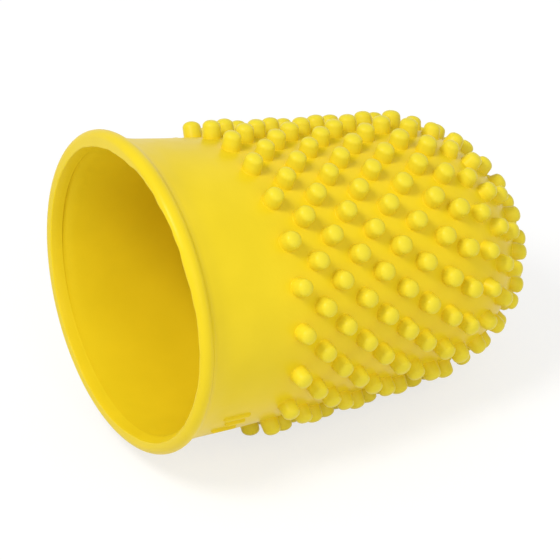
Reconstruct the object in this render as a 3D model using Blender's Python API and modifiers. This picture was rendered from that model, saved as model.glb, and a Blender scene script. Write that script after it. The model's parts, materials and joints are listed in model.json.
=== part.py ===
"""Rubber fingertip: a yellow nubbed rubber sleeve worn on a finger to turn paper.

Each zone of the moulding is drawn standing on its mouth, with the axis along local +Z and local +X
towards the table. A parent empty then lays the whole thing on its side, as it settles on a desk.
"""
from bisect import bisect_left
from math import ceil, cos, hypot, pi, radians, sin, sqrt, tan

import bmesh
import bpy
from mathutils import Matrix, Vector

MM = 0.001

# Overall sizes
LENGTH = 26.25 * MM           # mouth plane to the outside of the closed end, without nubs
MOUTH_LIFT = 1.3 * MM         # how far the mouth sits off the barrel's axis, away from the table
BOW_HEIGHT = 18.0 * MM        # the axis bends towards the mouth below this height
TIP_DROP = 0.6 * MM           # how far the closed end sits off the barrel's axis, towards the table
DROP_HEIGHT = 15.0 * MM       # the axis bends towards the closed end above this height

# Rim
RIM_RADIUS = 10.0 * MM        # widest point of the bead
RIM_DEPTH = 1.6 * MM          # the rim's share of the length
BEAD_RADIUS = 0.5 * MM        # rounding of the bead's outer edge
BEAD_PROUD = 0.68 * MM        # how far the bead stands out from the cuff
BEAD_STEPS = 5                # facets round the bead
NECK_STEPS = 3                # facets of the hollow behind the bead
FACE_WIDTH = 0.8 * MM         # from the widest point of the bead in to the lip
LIP_EDGE = 0.08 * MM          # small break on the lip's edge
LEAD_IN_DEPTH = 0.6 * MM      # depth of the conical lead-in behind the lip
LEAD_IN_DRAW = 0.35 * MM      # how much the lead-in narrows over that depth
STEP_DEPTH = 0.12 * MM        # short step from the lead-in to the bore
LIP_RADIUS = RIM_RADIUS - FACE_WIDTH

# Wall
BARREL_START = 6.62 * MM      # height where the smooth cuff ends and the nubbed barrel begins
CUFF_DRAW = 0.46 * MM         # how much the cuff narrows from the rim to there
BARREL_TAPER = radians(6.2)   # slope of the barrel's wall to its axis
DOME_DEPTH = 6.7 * MM         # length over which the closed end rounds over
DOME_POWER = 2.2              # 2 is an ellipse, more is a squarer shoulder
DOME_STEPS = 7                # facets from the dome's start to its middle
WALL = 0.65 * MM              # rubber thickness of the sleeve
TIP_WALL = 0.9 * MM           # rubber thickness of the closed end
DOME_START = LENGTH - DOME_DEPTH
CUFF_RADIUS = RIM_RADIUS - BEAD_PROUD
BARREL_RADIUS = CUFF_RADIUS - CUFF_DRAW

# Nubs
NUBS_PER_RING = 20
RINGS_PER_BAND = 2            # two rings, turned half a step against each other, are one band
BANDS = 5                     # the closed end carries the rings that are left
NUB_BASE_RADIUS = 0.65 * MM
NUB_TOP_RADIUS = 0.56 * MM
NUB_HEIGHT = 1.0 * MM
NUB_ROUNDING = 0.26 * MM      # break of the nub's top edge
NUB_ROOT = 0.22 * MM          # how deep a nub reaches into the wall it grows from
NUB_SIDES = 6
RING_GAP = 0.27 * MM          # clear wall between the nubs of one ring and the next
END_SPACING = 2.32 * MM       # most distance between the nubs of a ring on the closed end
FIRST_RING = BARREL_START + NUB_BASE_RADIUS + RING_GAP
RING_PITCH = 2 * NUB_BASE_RADIUS + RING_GAP
BARREL_RINGS = 1 + round((DOME_START - FIRST_RING) / RING_PITCH)

ROUND_STEPS = 2 * NUBS_PER_RING
WALL_SAMPLES = 400
MERGE_DISTANCE = 0.000001
SMOOTH_ANGLE = radians(40)
LEAN_LIMIT = radians(12)
LEAN_STEPS = 240
RUBBER_COLOUR = (0.87, 0.67, 0.03, 1.0)
RUBBER_ROUGHNESS = 0.48


def taper_radius(height):
    """Outside radius of the straight wall, before the dome rounds it off."""
    if height < BARREL_START:
        return CUFF_RADIUS - CUFF_DRAW * (height - RIM_DEPTH) / (BARREL_START - RIM_DEPTH)
    return BARREL_RADIUS - tan(BARREL_TAPER) * (height - BARREL_START)


def dome_share(height, depth):
    """Falls from 1 where the dome starts to 0 at its middle."""
    along = min(max((height - DOME_START) / depth, 0.0), 1.0)
    return sqrt(1.0 - along ** DOME_POWER)


def wall_radius(height):
    return taper_radius(height) * dome_share(height, DOME_DEPTH)


def bore_radius(height):
    return (taper_radius(height) - WALL) * dome_share(height, DOME_DEPTH - TIP_WALL)


def axis_shift(height):
    """How far the bent axis is off the straight one at this height, towards the table."""
    to_mouth = max(BOW_HEIGHT - height, 0.0) / BOW_HEIGHT
    to_end = max(height - DROP_HEIGHT, 0.0) / (LENGTH - DROP_HEIGHT)
    return TIP_DROP * to_end ** 2 - MOUTH_LIFT * to_mouth ** 2


def dome_height(depth, share):
    """Height on a dome of this depth, for a share of the quarter turn from its start to its middle."""
    return DOME_START + depth * sin(0.5 * pi * share) ** (2.0 / DOME_POWER)


def outline(start, end, radius_at, depth):
    """Points (radius, height) up one side of the wall, with the dome's facets where it has any."""
    bends = [dome_height(depth, step / DOME_STEPS) for step in range(DOME_STEPS)]
    heights = [start] + [bend for bend in bends if start + RING_GAP < bend < end - RING_GAP] + [end]
    return [(radius_at(height), height) for height in heights]


def ring_stations():
    """Height, radius and outward direction of each ring of nubs.

    The rings step evenly along the barrel's wall, and from the last of them evenly on to the middle
    of the closed end.
    """
    climb = DOME_START - FIRST_RING
    heights = [FIRST_RING + climb * step / WALL_SAMPLES for step in range(WALL_SAMPLES)]
    heights += [dome_height(DOME_DEPTH, step / WALL_SAMPLES) for step in range(WALL_SAMPLES + 1)]
    points = [(wall_radius(height), height) for height in heights]
    travelled = [0.0]
    for low, high in zip(points, points[1:]):
        travelled.append(travelled[-1] + hypot(high[0] - low[0], high[1] - low[1]))
    marks = [RING_PITCH * count for count in range(BARREL_RINGS)]
    left = travelled[-1] - marks[-1]
    end_steps = round(left / RING_PITCH)
    marks += [marks[-1] + left * step / end_steps for step in range(1, end_steps)]
    stations = []
    for mark in marks:
        index = max(bisect_left(travelled, mark), 1)
        low, high = points[index - 1], points[index]
        span = hypot(high[0] - low[0], high[1] - low[1])
        outward = ((high[1] - low[1]) / span, (low[0] - high[0]) / span)
        stations.append((high[1], high[0], outward))
    return stations


def ring_angles(index, radius):
    """Angles of a ring's nubs: staggered up the barrel, and evenly spread on the closed end."""
    on_barrel = index < BARREL_RINGS
    count = NUBS_PER_RING if on_barrel else ceil(2 * pi * radius / END_SPACING)
    turn = 0.0 if on_barrel and index % 2 else 0.5
    return [pi + 2 * pi * (slot + turn) / count for slot in range(count)]


def split_height(lower, upper):
    """Plane between two rings, clear of the nubs of both."""
    top_of_lower = lower[0] + NUB_BASE_RADIUS * lower[2][0]
    foot_of_upper = upper[0] - NUB_BASE_RADIUS * upper[2][0] - NUB_ROOT * upper[2][1]
    return 0.5 * (top_of_lower + foot_of_upper)


def nub_places(stations, first, last):
    """Foot and direction of every nub on the rings from first up to last."""
    places = []
    for index in range(first, last):
        height, radius, outward = stations[index]
        for angle in ring_angles(index, radius):
            foot = Vector((radius * cos(angle), radius * sin(angle), height))
            direction = Vector((outward[0] * cos(angle), outward[0] * sin(angle), outward[1]))
            places.append((foot, direction))
    return places


def nub_field(name, places, collection):
    """One mesh with a short tapered peg, broken at its top edge, at every place."""
    mesh = bpy.data.meshes.new(name)
    work = bmesh.new()
    depth = NUB_HEIGHT + NUB_ROOT
    tops = set()
    for foot, direction in places:
        middle = foot + direction * (0.5 * depth - NUB_ROOT)
        turn = direction.to_track_quat("Z", "Y").to_matrix().to_4x4()
        made = bmesh.ops.create_cone(work, cap_ends=True, segments=NUB_SIDES, radius1=NUB_BASE_RADIUS,
                                     radius2=NUB_TOP_RADIUS, depth=depth,
                                     matrix=Matrix.Translation(middle) @ turn)["verts"]
        tops.update(vert for vert in made if (vert.co - middle).dot(direction) > 0)
    top_edges = [edge for edge in work.edges if edge.verts[0] in tops and edge.verts[1] in tops]
    bmesh.ops.bevel(work, geom=top_edges, offset=NUB_ROUNDING, segments=1, affect="EDGES")
    work.to_mesh(mesh)
    work.free()
    field = bpy.data.objects.new(name, mesh)
    field.hide_render = True
    field.display_type = "WIRE"
    collection.objects.link(field)
    return field


def turned(name, profile, closed, collection):
    """Object turned about Z from a profile that runs down its outer side and back up its inner side."""
    mesh = bpy.data.meshes.new(name)
    edges = [(index, index + 1) for index in range(len(profile) - 1)]
    if closed:
        edges.append((len(profile) - 1, 0))
    mesh.from_pydata([(radius, 0.0, height) for radius, height in profile], edges, [])
    piece = bpy.data.objects.new(name, mesh)
    collection.objects.link(piece)
    screw = piece.modifiers.new("turn", "SCREW")
    screw.axis = "Z"
    screw.angle = 2 * pi
    screw.steps = ROUND_STEPS
    screw.render_steps = ROUND_STEPS
    screw.use_merge_vertices = True
    screw.merge_threshold = MERGE_DISTANCE
    return piece


def grow_nubs(piece, field):
    join = piece.modifiers.new("nubs", "BOOLEAN")
    join.operation = "UNION"
    join.solver = "EXACT"
    join.object = field


def rubber(name):
    material = bpy.data.materials.new("rubber_" + name)
    material.use_nodes = True
    shader = material.node_tree.nodes["Principled BSDF"]
    shader.inputs["Base Color"].default_value = RUBBER_COLOUR
    shader.inputs["Roughness"].default_value = RUBBER_ROUGHNESS
    shader.inputs["Metallic"].default_value = 0.0
    material.diffuse_color = RUBBER_COLOUR
    return material


def finish(piece):
    """Bake the modifiers, bend the axis, and give the piece its rubber."""
    graph = bpy.context.evaluated_depsgraph_get()
    mesh = bpy.data.meshes.new_from_object(piece.evaluated_get(graph))
    piece.modifiers.clear()
    piece.data = mesh
    mesh.name = piece.name
    for vert in mesh.vertices:
        vert.co.x += axis_shift(vert.co.z)
    mesh.shade_smooth()
    mesh.set_sharp_from_angle(angle=SMOOTH_ANGLE)
    mesh.materials.clear()
    mesh.materials.append(rubber(piece.name))


def rim_profile():
    """Bead, flat mouth face, lead-in and step, from the cuff down and back up inside."""
    centre = RIM_RADIUS - BEAD_RADIUS
    bead_top = (centre + BEAD_RADIUS * cos(radians(60)), BEAD_RADIUS * (1 + sin(radians(60))))
    points = []
    for step in range(NECK_STEPS):
        share = step / NECK_STEPS
        radius = CUFF_RADIUS + (bead_top[0] - CUFF_RADIUS) * share ** 2
        height = bead_top[1] + (RIM_DEPTH - bead_top[1]) * (1 - share) ** 2
        points.append((radius, height))
    for step in range(BEAD_STEPS + 1):
        angle = radians(60 - 150 * step / BEAD_STEPS)
        points.append((centre + BEAD_RADIUS * cos(angle), BEAD_RADIUS * (1 + sin(angle))))
    bore = bore_radius(RIM_DEPTH)
    points.append((LIP_RADIUS + LIP_EDGE, 0.0))
    points.append((LIP_RADIUS, LIP_EDGE))
    points.append((LIP_RADIUS - LEAD_IN_DRAW, LEAD_IN_DEPTH))
    points.append((bore, LEAD_IN_DEPTH + STEP_DEPTH))
    points.append((bore, RIM_DEPTH))
    return points


def sleeve_profile(start, end):
    """Cross-section of the wall between two heights."""
    outside = outline(start, end, wall_radius, DOME_DEPTH)
    inside = outline(start, end, bore_radius, DOME_DEPTH - TIP_WALL)
    return outside[::-1] + inside


def cap_profile(start):
    """Cross-section of the closed end above a height, from its middle down and back."""
    outside = outline(start, LENGTH, wall_radius, DOME_DEPTH)
    inside = outline(start, LENGTH - TIP_WALL, bore_radius, DOME_DEPTH - TIP_WALL)
    return outside[::-1] + inside


def mass_centre(pieces):
    """Centre of the rubber, summed over the tetrahedra between the origin and every triangle."""
    total = 0.0
    moment = Vector((0.0, 0.0, 0.0))
    for piece in pieces:
        verts = piece.data.vertices
        piece.data.calc_loop_triangles()
        for triangle in piece.data.loop_triangles:
            first, second, third = [verts[index].co for index in triangle.vertices]
            volume = first.dot(second.cross(third)) / 6.0
            total += volume
            moment += (first + second + third) * (0.25 * volume)
    return moment / total


def resting_lean(pieces):
    """Lean of the axis at which the rubber's centre lies lowest above the table."""
    centre = mass_centre(pieces)
    points = [vert.co - centre for piece in pieces for vert in piece.data.vertices]
    leans = [LEAN_LIMIT * step / LEAN_STEPS for step in range(-LEAN_STEPS, LEAN_STEPS + 1)]
    return min(leans, key=lambda lean: max(point.x * cos(lean) + point.z * sin(lean) for point in points))


def lay_down(pieces, collection):
    """Lay the pieces on their side, with the lowest nub on the table and the middle over the origin."""
    rest = bpy.data.objects.new("lying_on_its_side", None)
    rest.rotation_euler = (0.0, radians(90) + resting_lean(pieces), 0.0)
    turn = rest.rotation_euler.to_matrix()
    corners = [turn @ vert.co for piece in pieces for vert in piece.data.vertices]
    low = [min(corner[axis] for corner in corners) for axis in range(3)]
    high = [max(corner[axis] for corner in corners) for axis in range(3)]
    rest.location = (-0.5 * (low[0] + high[0]), -0.5 * (low[1] + high[1]), -low[2])
    collection.objects.link(rest)
    for piece in pieces:
        piece.parent = rest


def new_collection(name):
    collection = bpy.data.collections.new(name)
    bpy.context.scene.collection.children.link(collection)
    return collection


def main():
    for old in list(bpy.data.objects):
        bpy.data.objects.remove(old)
    parts = new_collection("rubber_fingertip")
    cutters = new_collection("nub_fields")
    stations = ring_stations()
    planes = [BARREL_START]
    for band in range(1, BANDS + 1):
        lower = stations[band * RINGS_PER_BAND - 1]
        upper = stations[band * RINGS_PER_BAND]
        planes.append(split_height(lower, upper))

    pieces = [turned("rim_bead", rim_profile(), True, parts),
              turned("cuff_sleeve", sleeve_profile(RIM_DEPTH, BARREL_START), True, parts)]
    for band in range(BANDS):
        name = "nub_band_%d" % (band + 1)
        piece = turned(name, sleeve_profile(planes[band], planes[band + 1]), True, parts)
        places = nub_places(stations, band * RINGS_PER_BAND, (band + 1) * RINGS_PER_BAND)
        grow_nubs(piece, nub_field(name + "_nubs", places, cutters))
        pieces.append(piece)
    cap = turned("tip_cap", cap_profile(planes[-1]), False, parts)
    places = nub_places(stations, BANDS * RINGS_PER_BAND, len(stations))
    places.append((Vector((0, 0, LENGTH)), Vector((0, 0, 1))))
    grow_nubs(cap, nub_field("tip_cap_nubs", places, cutters))
    pieces.append(cap)

    bpy.context.view_layer.update()
    for piece in pieces:
        finish(piece)
    lay_down(pieces, parts)


main()
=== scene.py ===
"""Looks of the yellow rubber fingertip: a fine rubber skin over each packed zone, on a pale table.

Heights run from the mouth to the closed end along the fingertip's own axis, and angles run round it
from the side that lies on the table. The near side is the one that the camera sees.
"""
import json
from collections import namedtuple
from math import ceil, cos, pi, radians, sin, tan

import bpy
import numpy as np
from mathutils import Matrix, Vector


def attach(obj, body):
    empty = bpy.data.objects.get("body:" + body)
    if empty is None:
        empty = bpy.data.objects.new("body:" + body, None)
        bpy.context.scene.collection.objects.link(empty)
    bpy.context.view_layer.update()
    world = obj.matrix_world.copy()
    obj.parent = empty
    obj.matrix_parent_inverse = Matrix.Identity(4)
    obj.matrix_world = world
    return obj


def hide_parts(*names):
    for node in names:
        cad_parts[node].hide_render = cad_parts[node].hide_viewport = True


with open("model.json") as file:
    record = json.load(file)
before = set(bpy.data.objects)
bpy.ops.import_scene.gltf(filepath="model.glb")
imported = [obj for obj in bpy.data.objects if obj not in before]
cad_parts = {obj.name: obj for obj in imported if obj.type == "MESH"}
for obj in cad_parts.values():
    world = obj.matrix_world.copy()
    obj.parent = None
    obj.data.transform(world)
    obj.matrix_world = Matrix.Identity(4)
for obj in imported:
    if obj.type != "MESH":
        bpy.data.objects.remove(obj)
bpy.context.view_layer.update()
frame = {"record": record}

MM = 0.001

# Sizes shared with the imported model
LENGTH = 26.25 * MM
MOUTH_LIFT = 1.3 * MM         # how far the bent axis rises towards the mouth
BOW_HEIGHT = 18.0 * MM        # height below which it rises
TIP_DROP = 0.6 * MM           # how far the axis falls towards the closed end
DROP_HEIGHT = 15.0 * MM       # height above which it falls
RIM_RADIUS = 10.0 * MM
RIM_DEPTH = 1.6 * MM
BEAD_RADIUS = 0.5 * MM
BEAD_CENTRE = RIM_RADIUS - BEAD_RADIUS
CUFF_RADIUS = 9.32 * MM
BARREL_START = 6.62 * MM
BARREL_RADIUS = 8.86 * MM
BARREL_TAPER = radians(6.2)
DOME_DEPTH = 6.7 * MM
DOME_POWER = 2.2              # 2 would be an ellipse, and more is squarer
DOME_START = LENGTH - DOME_DEPTH
WALL = 0.65 * MM
TIP_WALL = 0.9 * MM
MOUNT_RADIUS = 9.39 * MM      # distance of the record's mount from the middle of the mouth
NUBS_PER_RING = 20
BARREL_RINGS = 9
RINGS_PER_BAND = 2
BANDS = 5
FIRST_RING = 7.54 * MM
RING_PITCH = 1.57 * MM
END_SPACING = 2.32 * MM       # room for each nub along a ring of the closed end
NUB_CLEARANCE = 0.65 * MM     # half the width of a nub, for the planes between the zones
NUB_ROOT = 0.22 * MM          # depth of a packed nub's root, for the same planes
ZONES = ["rim_bead", "cuff_sleeve"] + ["nub_band_%d" % (band + 1) for band in range(BANDS)] + ["tip_cap"]

# Lip of the mouth, trimmed unevenly and pulled a little forward on one side.
# Each wave of its edge has a size, a count round the mouth and a starting angle
LIP_RADIUS = 9.12 * MM        # radius of the lip's inner edge before spill, trim and waves
LIP_BREAK = 0.06 * MM         # rounding of that edge
LIP_BREAK_TURN = radians(70)  # how far the rounding goes before the lead-in
LIP_WAVES = ((0.034 * MM, 7, 1.0), (0.034 * MM, 13, 2.1), (0.026 * MM, 29, 0.7), (0.018 * MM, 47, 0.0))
CALM_SHARE = 0.25             # share of the waves that is left away from the pulled side
SPILL = 0.34 * MM             # how far the lip reaches further in over the top of the mouth
SPILL_ANGLE = radians(165)
SPILL_WIDTH = radians(36)
TRIM = 0.50 * MM              # how far the lip is cut back on the near side
TRIM_ANGLE = radians(245)
TRIM_WIDTH = radians(100)
FAR_ROUNDING = 0.35           # share by which the lip is round and not cut sharp on the far side
FAR_ANGLE = radians(100)
FAR_WIDTH = radians(100)
LEAD_IN_RADIUS = 8.93 * MM
LEAD_IN_DEPTH = 0.66 * MM
LEAST_STEP = 0.02 * MM        # least width of the lip's flat face and of the lead-in

# Behind the lead-in. Each step round its edge goes in and up, and takes a share of the crease
EDGE_STEPS = ((0.012 * MM, 0.03 * MM, 0.0), (0.022 * MM, 0.06 * MM, 0.4))
EDGE_DROP = 0.03 * MM         # least step in from the lead-in to the bore
CREASE = 0.075 * MM           # depth of the crease, deepest on the far side
CREASE_ANGLE = radians(105)
CREASE_WIDTH = radians(75)
CREASE_START = 0.12 * MM      # height of the crease above the lead-in
BORE_FLARE = 0.18 * MM        # soft spread of the bore towards the lead-in
BORE_FLARE_END = 5.2 * MM

# The whole rim
PULL = 0.43 * MM              # how far the lip is pulled forward
PULL_ANGLE = radians(205)
PULL_WIDTH = radians(82)
PULL_REACH = 4.0 * MM         # height at which the pull has faded out
BEAD_TOP = radians(58)        # where the bead's round section runs out into the cuff
CUFF_FLARE = 0.11 * MM        # soft spread of the cuff where it meets the bead
CUFF_FLARE_REACH = 1.1 * MM

# Nubs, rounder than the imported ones. Ranges of chance are shares of the size, and slopes for leans
NUB_FOOT_RADIUS = 0.60 * MM
NUB_TOP_RADIUS = 0.565 * MM
NUB_END_TOP_RADIUS = 0.51 * MM
NUB_HEIGHT = 1.03 * MM
NUB_END_HEIGHT = 0.86 * MM
NUB_CROWN = 0.40 * MM         # height of the rounded top
NUB_CROWN_POWER = 2.15        # 2 would be an ellipse, and more is flatter
NUB_FILLET = 0.03 * MM        # hollow rounding where a nub meets the wall
FILLET_TURN = radians(84)
FOLLOW_HEIGHT = 0.06 * MM     # height over which a nub's foot follows the bend of the wall
SINK = 0.012 * MM             # how far the edges of nubs and ribs reach into the wall
NUB_SHRINK = 0.03             # most by which chance makes a nub shorter
NUB_SPREAD = 0.05             # range of widths
NUB_LEAN = 0.05               # range of leans
SEED = 20

# Moves of nubs from their regular rings. Single rings turn, or shift towards the closed end
RING_TURNS = {8: radians(-2.0), 9: radians(-1.5), 10: radians(4.0), 11: radians(-2.5)}
RING_SHIFTS = {2: -0.10 * MM, 3: -0.08 * MM, 4: -0.17 * MM, 5: -0.17 * MM, 6: -0.17 * MM,
               8: -0.14 * MM, 9: 0.12 * MM}
TOP_DRIFT = radians(6.2)      # how far nubs on the far side of the top have crept round the wall
TOP_DRIFT_ANGLE = radians(128)
LOW_DRIFT = radians(5.4)      # how far nubs low on the near side have
LOW_DRIFT_ANGLE = radians(321)
DRIFT_SPREAD = radians(43)
END_DRIFT = 0.3               # share of the drift on the closed end
TOP_RISE = 0.12               # how much taller the first nubs stand along the top
TOP_CREEP = 0.13 * MM         # how far they sit towards the mouth
TOP_ANGLE = radians(180)
TOP_WIDTH = radians(52)
TOP_RINGS = 6                 # rings over which both fade out

# Raised ribs low on the cuff, each with its angle and the heights of its ends
RIB_WIDTH = 0.32 * MM
RIB_HEIGHT = 0.18 * MM
RIB_END_WIDTH = 0.35          # share of the width at the very ends
RIBS = ((radians(301.5), 3.0 * MM, 5.0 * MM),
        (radians(306.5), 3.4 * MM, 4.9 * MM),
        (radians(312.0), 2.8 * MM, 4.6 * MM))

# Fineness of the skins
COLUMNS = 200
CUFF_ROWS = 18
BARREL_ROWS = 26
DOME_ROWS = 33
BORE_ROWS = 24
BORE_DOME_ROWS = 22
HOLLOW_ROWS = 12
BEAD_ROWS = 20
BREAK_ROWS = 5
LEAD_IN_ROWS = 9
CREASE_ROWS = 4
NUB_SIDES = 20
FILLET_ROWS = 5
CROWN_ROWS = 7
RIB_ROWS = 25
RIB_COLUMNS = 11
WALL_SAMPLES = 1200           # points along the wall from which the rings are placed
BEND_STEP = 0.5 * MM          # step along the wall over which its bend is measured
NEAR_PLANE = 0.06 * MM        # a row nearer than this to a plane between zones gives way to it
SAME_POINT = 1e-9             # a row smaller than this is one point
NO_LENGTH = 1e-12             # stands in for a length of nothing, where one is divided by

# Rubber: colours, and the scale and detail of each noise
CLOUD_DARK = (0.84, 0.630, 0.013, 1.0)
CLOUD_LIGHT = (0.89, 0.670, 0.016, 1.0)
CLOUD_RANGE = (0.30, 0.70)
CLOUD_NOISE = (260.0, 4.0)
# Painted highlight: the nubs turn lighter and more lemon towards their tops, where they are lit brighter
# than the wall between them
NUB_HIGHLIGHT_COLOUR = (0.845, 0.700, 0.034, 1.0)
NUB_HIGHLIGHT_HEIGHT = 0.40      # share of a nub's height at which the painted highlight is strongest
NUB_HIGHLIGHT_SHARE = 0.90       # how strong that is, against the wall's colour
GLOSS_RANGE = (0.28, 0.42)
GLOSS_NOISE = (900.0, 3.0)
SPECULAR = 0.17
GRAIN_STRENGTH = 0.10
GRAIN_DEPTH = 0.03 * MM
GRAIN_NOISE = (5200.0, 2.0)
SWELL_STRENGTH = 0.15
SWELL_DEPTH = 0.12 * MM
SWELL_NOISE = (420.0, 2.0)

# View, in the fingertip's own frame
FRAME_PIXELS = 560            # width of the photograph
SENSOR = 36.0                 # width of the camera's sensor in millimetres
FOCAL_PIXELS = 10000.0        # focal length, counted in pixels of the photograph
CAMERA_AIM = Vector((0.148, -0.430, 10.739)) * MM
CAMERA_DISTANCE = 606.0 * MM
CAMERA_RIGHT = Vector((-0.07137, -0.48633, 0.87086))
CAMERA_AHEAD = Vector((0.52785, 0.72239, 0.44668))
CAMERA_UP = CAMERA_RIGHT.cross(CAMERA_AHEAD)
CLIP_START = 0.05
CLIP_END = 20.0

# Lamps, room and table. A share is how bright a white face looks that is turned to that light alone
KEY_DIRECTION = CAMERA_UP * 0.48 - CAMERA_RIGHT * 0.38 - CAMERA_AHEAD * 0.79
KEY_SIZE = 0.11
KEY_SHARE = 0.475
FILL_DIRECTION = CAMERA_RIGHT * 0.40 - CAMERA_AHEAD * 0.92
FILL_SIZE = 0.30
FILL_SHARE = 0.21
LAMP_DISTANCE = 0.32
ROOM_SHARE = 0.55
TABLE_HALF = 1.5
TABLE_LIT = 0.82              # grey of the table that lights the object
TABLE_SEEN = 0.32             # grey of the table that the camera sees, with the shadow on it
TABLE_GLOW = 0.71             # light added to that, which makes it near white

Station = namedtuple("Station", "height radius lean bend")


def taper_radius(height):
    """Outside radius of the straight wall, before the dome rounds it off."""
    height = np.asarray(height, float)
    cuff_slope = (CUFF_RADIUS - BARREL_RADIUS) / (BARREL_START - RIM_DEPTH)
    cuff = CUFF_RADIUS - cuff_slope * (height - RIM_DEPTH)
    barrel = BARREL_RADIUS - tan(BARREL_TAPER) * (height - BARREL_START)
    return np.where(height < BARREL_START, cuff, barrel)


def dome_share(height, depth):
    """Share of the straight wall's radius that is left at this height of the dome."""
    along = np.clip((np.asarray(height, float) - DOME_START) / depth, 0.0, 1.0)
    return np.sqrt(1.0 - along ** DOME_POWER)


def dome_heights(depth, rows):
    """Heights up the dome for even steps of a quarter turn."""
    turns = 0.5 * pi * np.linspace(0.0, 1.0, rows)
    return DOME_START + depth * np.sin(turns) ** (2.0 / DOME_POWER)


def wall_radius(height):
    """Outside radius of the wall, with the cuff's soft spread towards the bead."""
    left = np.clip(1.0 - (np.asarray(height, float) - RIM_DEPTH) / CUFF_FLARE_REACH, 0.0, 1.0)
    return taper_radius(height) * dome_share(height, DOME_DEPTH) + CUFF_FLARE * left ** 2


def bore_radius(height):
    """Radius of the bore, with its soft spread towards the mouth."""
    height = np.asarray(height, float)
    left = np.clip((BORE_FLARE_END - height) / (BORE_FLARE_END - LEAD_IN_DEPTH), 0.0, 1.0)
    straight = (taper_radius(height) - WALL) * dome_share(height, DOME_DEPTH - TIP_WALL)
    return straight + BORE_FLARE * left ** 3


def axis_shift(height):
    """How far the bent axis is off the straight one at this height, towards the table."""
    to_mouth = np.maximum(BOW_HEIGHT - height, 0.0) / BOW_HEIGHT
    to_end = np.maximum(height - DROP_HEIGHT, 0.0) / (LENGTH - DROP_HEIGHT)
    return TIP_DROP * to_end ** 2 - MOUTH_LIFT * to_mouth ** 2


def angle_between(angle, middle):
    """How far an angle is past the middle one, from half a turn before it to half a turn after."""
    return np.mod(angle - middle + pi, 2 * pi) - pi


def hump(angle, middle, width, power=1):
    """1 at the middle angle, falling to 0 at the width on either side. A higher power eases out more."""
    off = angle_between(angle, middle)
    inside = np.abs(off) < width
    return np.where(inside, np.cos(0.5 * pi * np.where(inside, off, 0.0) / width) ** power, 0.0)


def bell(angle, middle):
    """1 at the middle angle, fading out over the spread of the drift."""
    return np.exp(-(angle_between(angle, middle) / DRIFT_SPREAD) ** 2)


def pulled_share(angle):
    """How much of the lip's pull is felt at this angle."""
    return hump(angle, PULL_ANGLE, PULL_WIDTH, power=2)


def lip_radius(angle):
    """Radius of the lip's inner edge, with its spill, trim and waves."""
    spill = SPILL * hump(angle, SPILL_ANGLE, SPILL_WIDTH, power=2)
    trim = TRIM * hump(angle, TRIM_ANGLE, TRIM_WIDTH)
    wave = sum(size * np.sin(count * angle + start) for size, count, start in LIP_WAVES)
    wave_share = CALM_SHARE + (1.0 - CALM_SHARE) * pulled_share(angle)
    return LIP_RADIUS - spill + trim + wave * wave_share


def placing():
    """Turn and shift that take the fingertip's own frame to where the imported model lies."""
    mount = frame["record"]["mounts"][0]
    along = -Vector(mount["axis"]).normalized()
    across = Vector((0.0, 1.0, 0.0))
    down = across.cross(along)
    turn = np.array([down, across, along]).T
    origin = np.array(Vector(mount["pos_m"]) - down * (MOUNT_RADIUS - MOUTH_LIFT))
    return turn, origin


TURN, ORIGIN = placing()


def placed(direction):
    """A direction of the fingertip's own frame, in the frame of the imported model."""
    return Vector(TURN @ np.array(direction))


def bent(points):
    """Pull the lip forward and bend the axis, for points in the straight frame."""
    points = np.array(points, float)
    angle = np.arctan2(points[..., 1], points[..., 0])
    height = points[..., 2]
    fade = np.clip(1.0 - height / PULL_REACH, 0.0, 1.0) ** 2
    points[..., 2] = height - PULL * pulled_share(angle) * fade
    points[..., 0] = points[..., 0] + axis_shift(height)
    return points


def unit(vectors):
    """Vectors along the last axis, each made one long."""
    return vectors / np.maximum(np.linalg.norm(vectors, axis=-1, keepdims=True), NO_LENGTH)


def grid_normals(points):
    """Normals of a grid whose rows are closed rings, from the differences along rows and columns."""
    down_rows = np.gradient(points, axis=0)
    round_row = np.roll(points, -1, axis=1) - np.roll(points, 1, axis=1)
    return unit(np.cross(down_rows, round_row))


def ring_stations():
    """Height, radius, lean of the outward direction and bend of the wall at each ring of nubs."""
    climb = np.linspace(FIRST_RING, DOME_START, WALL_SAMPLES)[:-1]
    heights = np.concatenate([climb, dome_heights(DOME_DEPTH, WALL_SAMPLES + 1)])
    radii = wall_radius(heights)
    steps = np.hypot(np.diff(radii), np.diff(heights))
    travelled = np.concatenate([[0.0], np.cumsum(steps)])
    tilt = np.arctan2(-np.diff(radii), np.diff(heights))
    middle = 0.5 * (travelled[1:] + travelled[:-1])
    marks = [RING_PITCH * ring for ring in range(BARREL_RINGS)]
    left = travelled[-1] - marks[-1]
    end_steps = round(left / RING_PITCH)
    marks += [marks[-1] + left * step / end_steps for step in range(1, end_steps)]
    stations = []
    for mark in marks:
        height = float(np.interp(mark, travelled, heights))
        radius = float(np.interp(mark, travelled, radii))
        lean = float(np.interp(mark, middle, tilt))
        ahead = float(np.interp(mark + BEND_STEP, middle, tilt))
        behind = float(np.interp(mark - BEND_STEP, middle, tilt))
        stations.append(Station(height, radius, lean, (ahead - behind) / (2 * BEND_STEP)))
    return stations


def ring_angles(index, radius):
    """Angles of the nubs of one ring, half a step on from those of the ring before, with their drift."""
    on_barrel = index < BARREL_RINGS
    count = NUBS_PER_RING if on_barrel else ceil(2 * pi * radius / END_SPACING)
    half_step = 0.0 if on_barrel and index % 2 else 0.5
    start = pi + RING_TURNS.get(index, 0.0)
    angles = (start + 2 * pi * (np.arange(count) + half_step) / count) % (2 * pi)
    drift = TOP_DRIFT * bell(angles, TOP_DRIFT_ANGLE) + LOW_DRIFT * bell(angles, LOW_DRIFT_ANGLE)
    return angles + drift * (1.0 if on_barrel else END_DRIFT)


def zone_of_ring(index):
    """Place among the zones of the one that carries this ring of nubs."""
    return min(ZONES.index("nub_band_1") + index // RINGS_PER_BAND, ZONES.index("tip_cap"))


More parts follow.
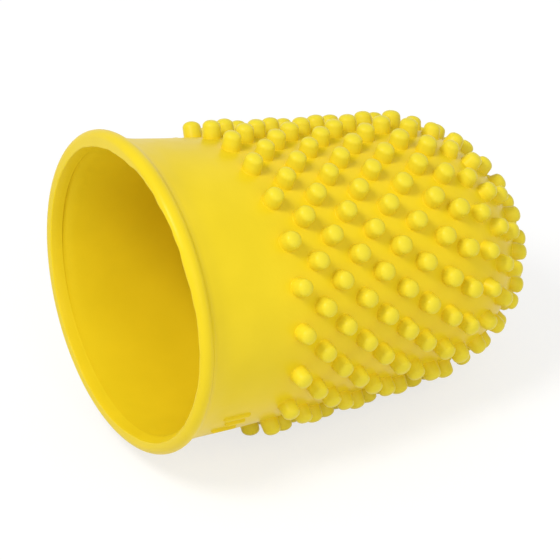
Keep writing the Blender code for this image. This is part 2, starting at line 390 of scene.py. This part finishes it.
def zone_planes(stations):
    """Heights of the planes between the zones, from the rim to the closed end."""
    planes = [RIM_DEPTH, BARREL_START]
    for band in range(1, BANDS + 1):
        lower = stations[band * RINGS_PER_BAND - 1]
        upper = stations[band * RINGS_PER_BAND]
        top_of_lower = lower.height + NUB_CLEARANCE * cos(lower.lean)
        foot_of_upper = upper.height - NUB_CLEARANCE * cos(upper.lean) - NUB_ROOT * sin(upper.lean)
        planes.append(0.5 * (top_of_lower + foot_of_upper))
    return planes


def with_planes(heights, planes):
    """The heights with the planes among them, and none left too near a plane."""
    kept = [height for height in heights if min(abs(height - plane) for plane in planes) > NEAR_PLANE]
    low, high = min(heights) - NEAR_PLANE, max(heights) + NEAR_PLANE
    return sorted(kept + [plane for plane in planes if low < plane < high])


def hollow_rows(ones):
    """Rows of the hollow between the cuff and the bead, one curve that runs smoothly into both."""
    run_out = np.array((BEAD_CENTRE + BEAD_RADIUS * cos(BEAD_TOP), BEAD_RADIUS * (1 + sin(BEAD_TOP))))
    top = np.array((float(wall_radius(RIM_DEPTH)), RIM_DEPTH))
    spread = 2 * CUFF_FLARE / CUFF_FLARE_REACH
    steep = tan(BEAD_TOP)
    corner_height = (run_out[0] + run_out[1] * steep - top[0] - top[1] * spread) / (steep - spread)
    corner = np.array((top[0] + spread * (top[1] - corner_height), corner_height))
    rows = []
    for share in np.linspace(0.0, 1.0, HOLLOW_ROWS)[1:-1]:
        radius, height = (1 - share) ** 2 * top + 2 * share * (1 - share) * corner + share ** 2 * run_out
        rows.append((radius * ones, height * ones))
    return rows


def bead_rows(lip):
    """Rows round the bead, from the hollow to the flat face of the lip."""
    last_turn = -np.arccos(np.clip((lip + LIP_BREAK - BEAD_CENTRE) / BEAD_RADIUS, 0.0, 1.0))
    rows = []
    for share in np.linspace(0.0, 1.0, BEAD_ROWS):
        turn = BEAD_TOP + (last_turn - BEAD_TOP) * share
        rows.append((BEAD_CENTRE + BEAD_RADIUS * np.cos(turn), BEAD_RADIUS * (1 + np.sin(turn))))
    return rows


def lip_rows(angles, flat_end, face_height):
    """Rows over the lip's edge and along the lead-in, and the lead-in's last radius.

    The lip is cut sharp, and partly rounded on the far side.
    """
    cut = []
    for turn in np.linspace(0.0, LIP_BREAK_TURN, BREAK_ROWS):
        cut.append((flat_end - LIP_BREAK * sin(turn), face_height + LIP_BREAK * (1 - cos(turn))))
    edge_radius, edge_height = cut[-1]
    lead_in = np.minimum(LEAD_IN_RADIUS, edge_radius - LEAST_STEP)
    for share in np.linspace(0.0, 1.0, LEAD_IN_ROWS)[1:]:
        cut.append((edge_radius + (lead_in - edge_radius) * share,
                    edge_height + (LEAD_IN_DEPTH - edge_height) * share))
    far = FAR_ROUNDING * hump(angles, FAR_ANGLE, FAR_WIDTH)
    rows = []
    for step, (radius, height) in enumerate(cut):
        turn = 0.5 * pi * step / (len(cut) - 1)
        round_radius = lead_in + (flat_end - lead_in) * (1 - sin(turn))
        round_height = face_height + (LEAD_IN_DEPTH - face_height) * (1 - cos(turn))
        rows.append((radius + (round_radius - radius) * far, height + (round_height - height) * far))
    return rows, lead_in


def crease_rows(angles, lead_in):
    """Rows behind the lead-in: two round its edge, then the crease as it fades into the bore."""
    ones = np.ones_like(angles)
    crease = CREASE * hump(angles, CREASE_ANGLE, CREASE_WIDTH, power=2)
    rows = []
    for inward, upward, crease_share in EDGE_STEPS:
        rows.append((lead_in - inward + crease_share * crease, (LEAD_IN_DEPTH + upward) * ones))
    start = LEAD_IN_DEPTH + CREASE_START
    for share in np.arange(CREASE_ROWS) / CREASE_ROWS:
        height = start + (RIM_DEPTH - start) * share
        bore = np.minimum(float(bore_radius(height)), lead_in - EDGE_DROP)
        rows.append((bore + crease * (1 - share) ** 2, height * ones))
    return rows


def rim_rows(angles):
    """Rows of the rim from the cuff down round the bead, over the lip and up into the bore."""
    lip = lip_radius(angles)
    rows = hollow_rows(np.ones_like(angles)) + bead_rows(lip)
    face_radius, face_height = rows[-1]
    flat_end = np.minimum(lip + LIP_BREAK, face_radius - LEAST_STEP)
    rows.append((0.5 * (flat_end + face_radius), face_height))
    over_lip, lead_in = lip_rows(angles, flat_end, face_height)
    return rows + over_lip + crease_rows(angles, lead_in)


def skin_rows(planes):
    """Every row of the skin, from the middle of the closed end down the outside and back up the bore."""
    angles = 2 * pi * np.arange(COLUMNS) / COLUMNS
    ones = np.ones(COLUMNS)
    cuff = list(np.linspace(RIM_DEPTH, BARREL_START, CUFF_ROWS)[:-1])
    barrel = list(np.linspace(BARREL_START, DOME_START, BARREL_ROWS)[:-1])
    dome = list(dome_heights(DOME_DEPTH, DOME_ROWS))
    outside = with_planes(cuff + barrel + dome, planes)
    bore = list(np.linspace(RIM_DEPTH, DOME_START, BORE_ROWS)[:-1])
    bore_dome = list(dome_heights(DOME_DEPTH - TIP_WALL, BORE_DOME_ROWS))
    inside = with_planes(bore + bore_dome, planes)
    rows = [(wall_radius(height) * ones, height * ones) for height in reversed(outside)]
    rows += rim_rows(angles)
    rows += [(bore_radius(height) * ones, height * ones) for height in inside]
    radii = np.array([radius for radius, _ in rows])
    heights = np.array([height for _, height in rows])
    straight = np.stack([radii * np.cos(angles), radii * np.sin(angles), heights], axis=2)
    return straight, heights[:, 0]


class Skin:
    """Points, normals and faces of one zone, gathered before they become a mesh."""

    def __init__(self):
        self.points = []
        self.normals = []
        self.tips = []
        self.faces = []

    def add_grid(self, points, normals, tips):
        """Add rows of closed rings. A row that shrinks to one point closes with a fan."""
        count = points.shape[1]
        index = np.zeros(points.shape[:2], int)
        for row in range(points.shape[0]):
            pole = np.ptp(points[row], axis=0).max() < SAME_POINT
            for column in range(1 if pole else count):
                index[row, column] = len(self.points)
                self.points.append(points[row, column])
                self.normals.append(normals[row, column])
                self.tips.append(tips[row])
            if pole:
                index[row, :] = index[row, 0]
        for here, below in zip(index[:-1], index[1:]):
            for column in range(count):
                after = (column + 1) % count
                corners = (here[column], below[column], below[after], here[after])
                self.faces.append(list(dict.fromkeys(int(corner) for corner in corners)))

    def add_patch(self, points, normals):
        """Add an open grid."""
        start = len(self.points)
        rows, columns = points.shape[:2]
        self.points.extend(points.reshape(-1, 3))
        self.normals.extend(normals.reshape(-1, 3))
        self.tips.extend([0.0] * (rows * columns))
        for row in range(rows - 1):
            for column in range(columns - 1):
                corner = start + row * columns + column
                self.faces.append([corner, corner + 1, corner + columns + 1, corner + columns])


def nub_profile(on_end):
    """Radius and height of a nub from the edge of its hollow foot up to the middle of its top."""
    top = NUB_END_TOP_RADIUS if on_end else NUB_TOP_RADIUS
    tall = NUB_END_HEIGHT if on_end else NUB_HEIGHT
    profile = [(NUB_FOOT_RADIUS + NUB_FILLET, -SINK)]
    for turn in np.linspace(0.0, FILLET_TURN, FILLET_ROWS + 1)[1:]:
        profile.append((NUB_FOOT_RADIUS + NUB_FILLET * (1 - sin(turn)), NUB_FILLET * (1 - cos(turn))))
    shoulder = tall - NUB_CROWN
    foot_radius, foot_height = profile[-1]
    profile.append((0.5 * (foot_radius + top), 0.5 * (foot_height + shoulder)))
    for turn in np.linspace(0.0, 0.5 * pi, CROWN_ROWS + 1)[:-1]:
        across = cos(turn) ** (2.0 / NUB_CROWN_POWER)
        up = sin(turn) ** (2.0 / NUB_CROWN_POWER)
        profile.append((top * across, shoulder + NUB_CROWN * up))
    profile.append((0.0, tall))
    return np.array(profile)


def add_nub(skin, profile, foot, angle, lean, bends, chance, rise=0.0):
    """Grow one nub, its foot following the bend of the wall, with the small unevenness of a moulding.

    The bends are those of the wall round the axis and along it.
    """
    outward = np.array((cos(lean) * cos(angle), cos(lean) * sin(angle), sin(lean)))
    around = np.array((-sin(angle), cos(angle), 0.0))
    rising = np.cross(outward, around)
    tall = 1.0 - NUB_SHRINK * chance.random() + rise
    wide = 1.0 + NUB_SPREAD * (chance.random() - 0.5)
    lean_round = NUB_LEAN * (chance.random() - 0.5)
    lean_rise = NUB_LEAN * (chance.random() - 0.5)
    turns = 2 * pi * np.arange(NUB_SIDES) / NUB_SIDES
    radius, height = profile.T[:, :, None]
    follow = np.clip(1.0 - height / FOLLOW_HEIGHT, 0.0, 1.0)
    free = 1.0 - follow
    x = radius * wide * np.cos(turns) + height * lean_round * free
    y = radius * wide * np.sin(turns) + height * lean_rise * free
    sag = 0.5 * (bends[0] * x * x + bends[1] * y * y)
    z = height * (1.0 - (1.0 - tall) * free) - follow * sag
    points = foot + x[..., None] * around + y[..., None] * rising + z[..., None] * outward
    points = bent(points)[::-1]
    normals = grid_normals(points)
    normals[0] = outward + lean_round * around + lean_rise * rising
    normals[-1] = outward + np.outer(bends[0] * x[0], around) + np.outer(bends[1] * y[0], rising)
    # Height share of each row, which sets the painted highlight on the nub
    tips = np.clip(profile[::-1, 1] / NUB_HEIGHT, 0.0, 1.0)
    skin.add_grid(points, unit(normals), tips)


def add_ring(skin, index, station, chance):
    """One ring of nubs, the first rings taller along the top and nearer to the mouth there."""
    profile = nub_profile(on_end=index >= BARREL_RINGS)
    lean = station.lean
    bends = (cos(lean) / station.radius, station.bend)
    for angle in ring_angles(index, station.radius):
        on_top = max(1.0 - index / TOP_RINGS, 0.0) * float(hump(angle, TOP_ANGLE, TOP_WIDTH, power=0.5))
        shift = RING_SHIFTS.get(index, 0.0) - TOP_CREEP * on_top
        radius = station.radius - shift * sin(lean)
        height = station.height + shift * cos(lean)
        foot = np.array((radius * cos(angle), radius * sin(angle), height))
        add_nub(skin, profile, foot, angle, lean, bends, chance, TOP_RISE * on_top)


def add_end_nub(skin, bend, chance):
    """The nub in the middle of the closed end."""
    foot = np.array((0.0, 0.0, LENGTH))
    add_nub(skin, nub_profile(on_end=True), foot, 0.0, 0.5 * pi, (bend, bend), chance)


def add_rib(skin, angle, low, high):
    """One plain raised rib along the cuff, rounded across and at its ends."""
    along = np.linspace(0.0, 1.0, RIB_ROWS)
    across = np.linspace(-1.0, 1.0, RIB_COLUMNS)
    ends = np.minimum(1.0, np.minimum(along, 1.0 - along) * (high - low) / (0.5 * RIB_WIDTH))
    ends = np.sqrt(np.clip(1.0 - (1.0 - ends) ** 2, 0.0, 1.0))
    heights = low + (high - low) * along
    lift = np.outer(ends, np.sqrt(np.clip(1.0 - across ** 2, 0.0, 1.0))) * RIB_HEIGHT - SINK
    width = np.outer(RIB_END_WIDTH + (1.0 - RIB_END_WIDTH) * ends, across) * 0.5 * RIB_WIDTH
    wall = wall_radius(heights)[:, None]
    turn = angle + width / wall
    radius = wall + lift
    tall = np.repeat(heights[:, None], RIB_COLUMNS, axis=1)
    points = bent(np.stack([radius * np.cos(turn), radius * np.sin(turn), tall], axis=2))
    normals = np.cross(np.gradient(points, axis=1), np.gradient(points, axis=0))
    skin.add_patch(points, unit(normals))


def add_noise(nodes, links, source, scale_and_detail):
    """A noise texture over the object, and its grey output."""
    texture = nodes.new("ShaderNodeTexNoise")
    texture.inputs["Scale"].default_value = scale_and_detail[0]
    texture.inputs["Detail"].default_value = scale_and_detail[1]
    links.new(source, texture.inputs["Vector"])
    return texture.outputs["Fac"]


def add_bump(nodes, links, height, strength, depth):
    """A bump of this depth, from a grey height."""
    bump = nodes.new("ShaderNodeBump")
    bump.inputs["Strength"].default_value = strength
    bump.inputs["Distance"].default_value = depth
    links.new(height, bump.inputs["Height"])
    return bump


def rubber_colour(nodes, links, place):
    """Cloudy yellow, with a painted highlight that makes the nubs lighter and a little more lemon than the
    wall towards their tops.
    """
    cloud = nodes.new("ShaderNodeValToRGB")
    for element, position, colour in zip(cloud.color_ramp.elements, CLOUD_RANGE, (CLOUD_DARK, CLOUD_LIGHT)):
        element.position = position
        element.color = colour
    links.new(add_noise(nodes, links, place, CLOUD_NOISE), cloud.inputs["Fac"])
    # Painted highlight on the nubs, strongest from part way up to their tops
    tips = nodes.new("ShaderNodeAttribute")
    tips.attribute_name = "nub_height"
    highlight_cover = nodes.new("ShaderNodeMapRange")
    highlight_cover.inputs["From Max"].default_value = NUB_HIGHLIGHT_HEIGHT
    highlight_cover.inputs["To Max"].default_value = NUB_HIGHLIGHT_SHARE
    links.new(tips.outputs["Fac"], highlight_cover.inputs["Value"])
    mix = nodes.new("ShaderNodeMix")
    mix.data_type = "RGBA"
    mix.inputs["B"].default_value = NUB_HIGHLIGHT_COLOUR
    links.new(highlight_cover.outputs["Result"], mix.inputs["Factor"])
    links.new(cloud.outputs["Color"], mix.inputs["A"])
    return mix.outputs["Result"]


def rubber():
    """Satin yellow rubber: cloudy colour, an uneven gloss, a fine moulded grain and a slow swell."""
    material = bpy.data.materials.new("yellow_rubber")
    material.use_nodes = True
    nodes = material.node_tree.nodes
    links = material.node_tree.links
    shader = nodes["Principled BSDF"]
    shader.inputs["Specular IOR Level"].default_value = SPECULAR
    place = nodes.new("ShaderNodeTexCoord").outputs["Object"]
    links.new(rubber_colour(nodes, links, place), shader.inputs["Base Color"])

    gloss = nodes.new("ShaderNodeMapRange")
    gloss.inputs["To Min"].default_value = GLOSS_RANGE[0]
    gloss.inputs["To Max"].default_value = GLOSS_RANGE[1]
    links.new(add_noise(nodes, links, place, GLOSS_NOISE), gloss.inputs["Value"])
    links.new(gloss.outputs["Result"], shader.inputs["Roughness"])

    grain_height = add_noise(nodes, links, place, GRAIN_NOISE)
    grain = add_bump(nodes, links, grain_height, GRAIN_STRENGTH, GRAIN_DEPTH)
    swell_height = add_noise(nodes, links, place, SWELL_NOISE)
    swell = add_bump(nodes, links, swell_height, SWELL_STRENGTH, SWELL_DEPTH)
    links.new(grain.outputs["Normal"], swell.inputs["Normal"])
    links.new(swell.outputs["Normal"], shader.inputs["Normal"])
    return material


def make_piece(name, node, skin, material):
    """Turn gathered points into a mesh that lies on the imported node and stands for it."""
    points = np.array(skin.points) @ TURN.T + ORIGIN
    normals = np.array(skin.normals) @ TURN.T
    mesh = bpy.data.meshes.new(name)
    mesh.from_pydata(points.tolist(), [], skin.faces)
    mesh.shade_smooth()
    mesh.normals_split_custom_set_from_vertices(normals.tolist())
    height = mesh.attributes.new("nub_height", "FLOAT", "POINT")
    height.data.foreach_set("value", np.array(skin.tips, np.float32))
    mesh.materials.append(material)
    piece = bpy.data.objects.new(name, mesh)
    bpy.context.scene.collection.objects.link(piece)
    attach(piece, "root")
    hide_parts(node)


def build_skins():
    """One skin for each packed zone, cut from the same rows so that neighbours share their edges."""
    stations = ring_stations()
    planes = zone_planes(stations)
    straight, heights = skin_rows(planes)
    points = bent(straight)
    normals = grid_normals(points)
    normals[0] = (0.0, 0.0, 1.0)
    normals[-1] = (0.0, 0.0, -1.0)
    zone_of_span = np.searchsorted(planes, 0.5 * (heights[1:] + heights[:-1]))
    material = rubber()
    chance = np.random.default_rng(SEED)
    for zone, node in enumerate(ZONES):
        skin = Skin()
        spans = np.flatnonzero(zone_of_span == zone)
        for run in np.split(spans, np.flatnonzero(np.diff(spans) > 1) + 1):
            rows = slice(run[0], run[-1] + 2)
            skin.add_grid(points[rows], normals[rows], np.zeros(len(run) + 1))
        if node == "cuff_sleeve":
            for angle, low, high in RIBS:
                add_rib(skin, angle, low, high)
        for index, station in enumerate(stations):
            if zone_of_ring(index) == zone:
                add_ring(skin, index, station, chance)
        if node == "tip_cap":
            add_end_nub(skin, stations[-1].bend, chance)
        make_piece(node + "_skin", node, skin, material)


def background_ray(nodes, links):
    """A value that is 1 for the rays that show the background: straight, mirrored or through glass."""
    path = nodes.new("ShaderNodeLightPath")
    shown = path.outputs["Is Camera Ray"]
    for kind in ("Is Glossy Ray", "Is Transmission Ray"):
        either = nodes.new("ShaderNodeMath")
        either.operation = "MAXIMUM"
        links.new(shown, either.inputs[0])
        links.new(path.outputs[kind], either.inputs[1])
        shown = either.outputs["Value"]
    return shown


def split_shader(nodes, links, lit, seen, output):
    """Send one shader to the rays that light the object and another to those that show the background."""
    choose = nodes.new("ShaderNodeMixShader")
    links.new(background_ray(nodes, links), choose.inputs["Fac"])
    links.new(lit, choose.inputs[1])
    links.new(seen, choose.inputs[2])
    links.new(choose.outputs["Shader"], nodes[output].inputs["Surface"])


def add_matt(nodes, grey):
    """A matt grey shader."""
    matt = nodes.new("ShaderNodeBsdfDiffuse")
    matt.inputs["Color"].default_value = (grey, grey, grey, 1.0)
    return matt.outputs["BSDF"]


def table_white():
    """Material that looks near white with a pale shadow, and lights the object as a plain pale grey."""
    material = bpy.data.materials.new("table_white")
    material.use_nodes = True
    nodes = material.node_tree.nodes
    links = material.node_tree.links
    nodes.remove(nodes["Principled BSDF"])
    glow = nodes.new("ShaderNodeEmission")
    glow.inputs["Strength"].default_value = TABLE_GLOW
    seen = nodes.new("ShaderNodeAddShader")
    links.new(add_matt(nodes, TABLE_SEEN), seen.inputs[0])
    links.new(glow.outputs["Emission"], seen.inputs[1])
    split_shader(nodes, links, add_matt(nodes, TABLE_LIT), seen.outputs["Shader"], "Material Output")
    return material


def build_floor():
    """The pale table, one flat square."""
    mesh = bpy.data.meshes.new("table")
    corners = [(x * TABLE_HALF, y * TABLE_HALF, 0.0) for x, y in ((-1, -1), (1, -1), (1, 1), (-1, 1))]
    mesh.from_pydata(corners, [], [(0, 1, 2, 3)])
    mesh.materials.append(table_white())
    floor = bpy.data.objects.new("table", mesh)
    bpy.context.scene.collection.objects.link(floor)


def add_lamp(name, direction, size, share):
    """A round soft lamp that faces the fingertip."""
    data = bpy.data.lights.new(name, "AREA")
    data.shape = "DISK"
    data.size = size
    data.energy = share * pi ** 2 * LAMP_DISTANCE ** 2
    lamp = bpy.data.objects.new(name, data)
    towards = placed(direction).normalized()
    lamp.location = towards * LAMP_DISTANCE
    lamp.rotation_euler = towards.to_track_quat("Z", "Y").to_euler()
    bpy.context.scene.collection.objects.link(lamp)


def build_room():
    """An even white room, which the camera sees as plain white."""
    world = bpy.data.worlds.new("white_room")
    world.use_nodes = True
    bpy.context.scene.world = world
    nodes = world.node_tree.nodes
    links = world.node_tree.links
    lit = nodes["Background"]
    seen = nodes.new("ShaderNodeBackground")
    for background, strength in ((lit, ROOM_SHARE), (seen, 1.0)):
        background.inputs["Color"].default_value = (1.0, 1.0, 1.0, 1.0)
        background.inputs["Strength"].default_value = strength
    split_shader(nodes, links, lit.outputs["Background"], seen.outputs["Background"], "World Output")


def build_light():
    """A soft lamp above and to the left, a wide one in front, and the room."""
    add_lamp("key", KEY_DIRECTION, KEY_SIZE, KEY_SHARE)
    add_lamp("fill", FILL_DIRECTION, FILL_SIZE, FILL_SHARE)
    build_room()


def build_camera():
    """Long lens from the photograph's viewing angle."""
    data = bpy.data.cameras.new("camera")
    data.sensor_fit = "HORIZONTAL"
    data.sensor_width = SENSOR
    data.lens = FOCAL_PIXELS * SENSOR / FRAME_PIXELS
    data.clip_start = CLIP_START
    data.clip_end = CLIP_END
    camera = bpy.data.objects.new("camera", data)
    turn = Matrix((placed(CAMERA_RIGHT), placed(CAMERA_UP), -placed(CAMERA_AHEAD))).transposed()
    place = placed(CAMERA_AIM - CAMERA_AHEAD * CAMERA_DISTANCE) + Vector(ORIGIN)
    camera.matrix_world = Matrix.Translation(place) @ turn.to_4x4()
    bpy.context.scene.collection.objects.link(camera)
    bpy.context.scene.camera = camera


build_skins()
build_floor()
build_light()
build_camera()
bpy.context.scene.view_settings.view_transform = "Standard"
